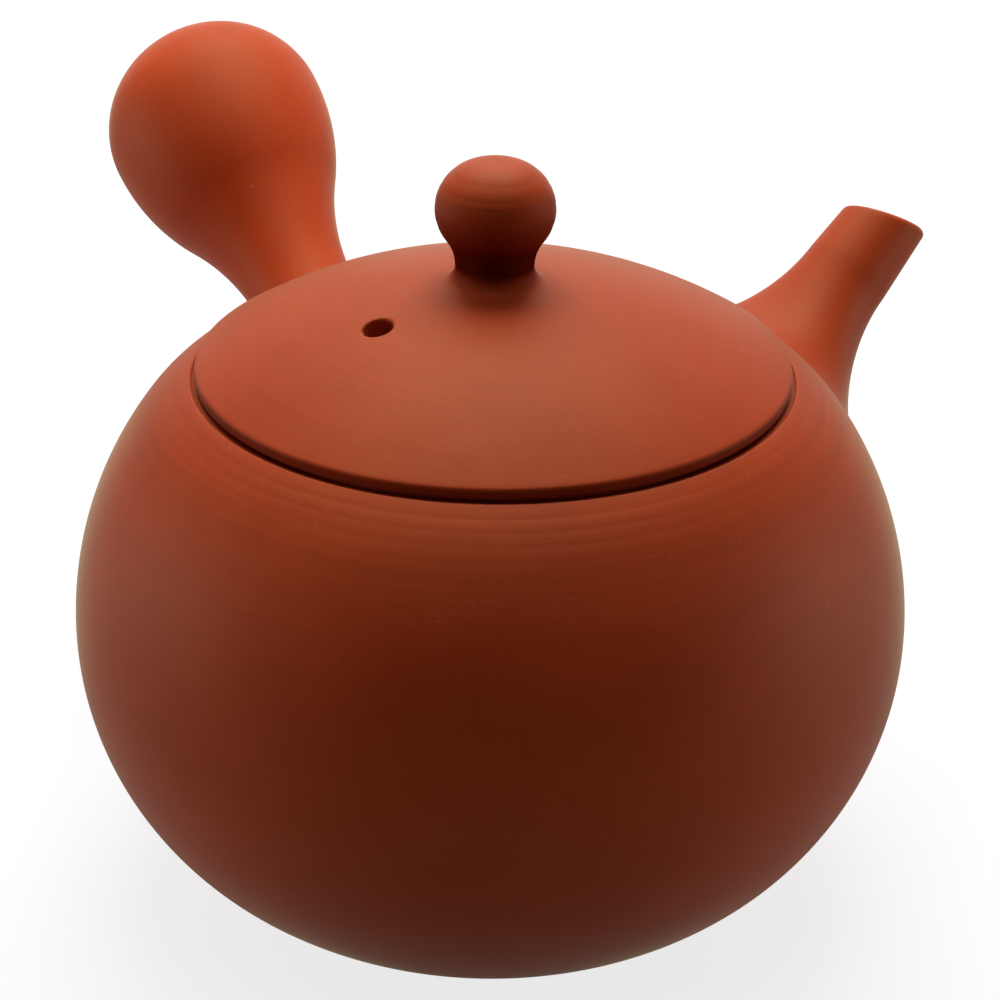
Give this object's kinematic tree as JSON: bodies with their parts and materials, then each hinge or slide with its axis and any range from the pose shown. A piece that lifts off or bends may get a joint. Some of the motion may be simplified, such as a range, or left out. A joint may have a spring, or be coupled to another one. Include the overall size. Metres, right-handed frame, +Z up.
{
  "type": "side-handle teapot",
  "caption": "Round unglazed clay teapot with a bulb side handle, a strainer dome behind its spout and a lift-off domed lid with a ball knob.",
  "frame": {"origin": "centre of the flat base, on the pot's axis", "axes": "+Z up along the pot's axis, +X towards the spout"},
  "size_m": [0.1349, 0.1514, 0.1007],
  "materials": {
    "clay": "unglazed red clay, satin matt"
  },
  "bodies": {
    "pot": {"pot_body": "clay", "spout": "clay", "handle": "clay", "strainer": "clay"},
    "cover": {"lid": "clay", "knob": "clay"}
  },
  "joints": [
    {"name": "lid_lift", "type": "slide", "parent": "pot", "child": "cover", "axis": [0, 0, 1], "range_m": [0, 0.06]}
  ]
}
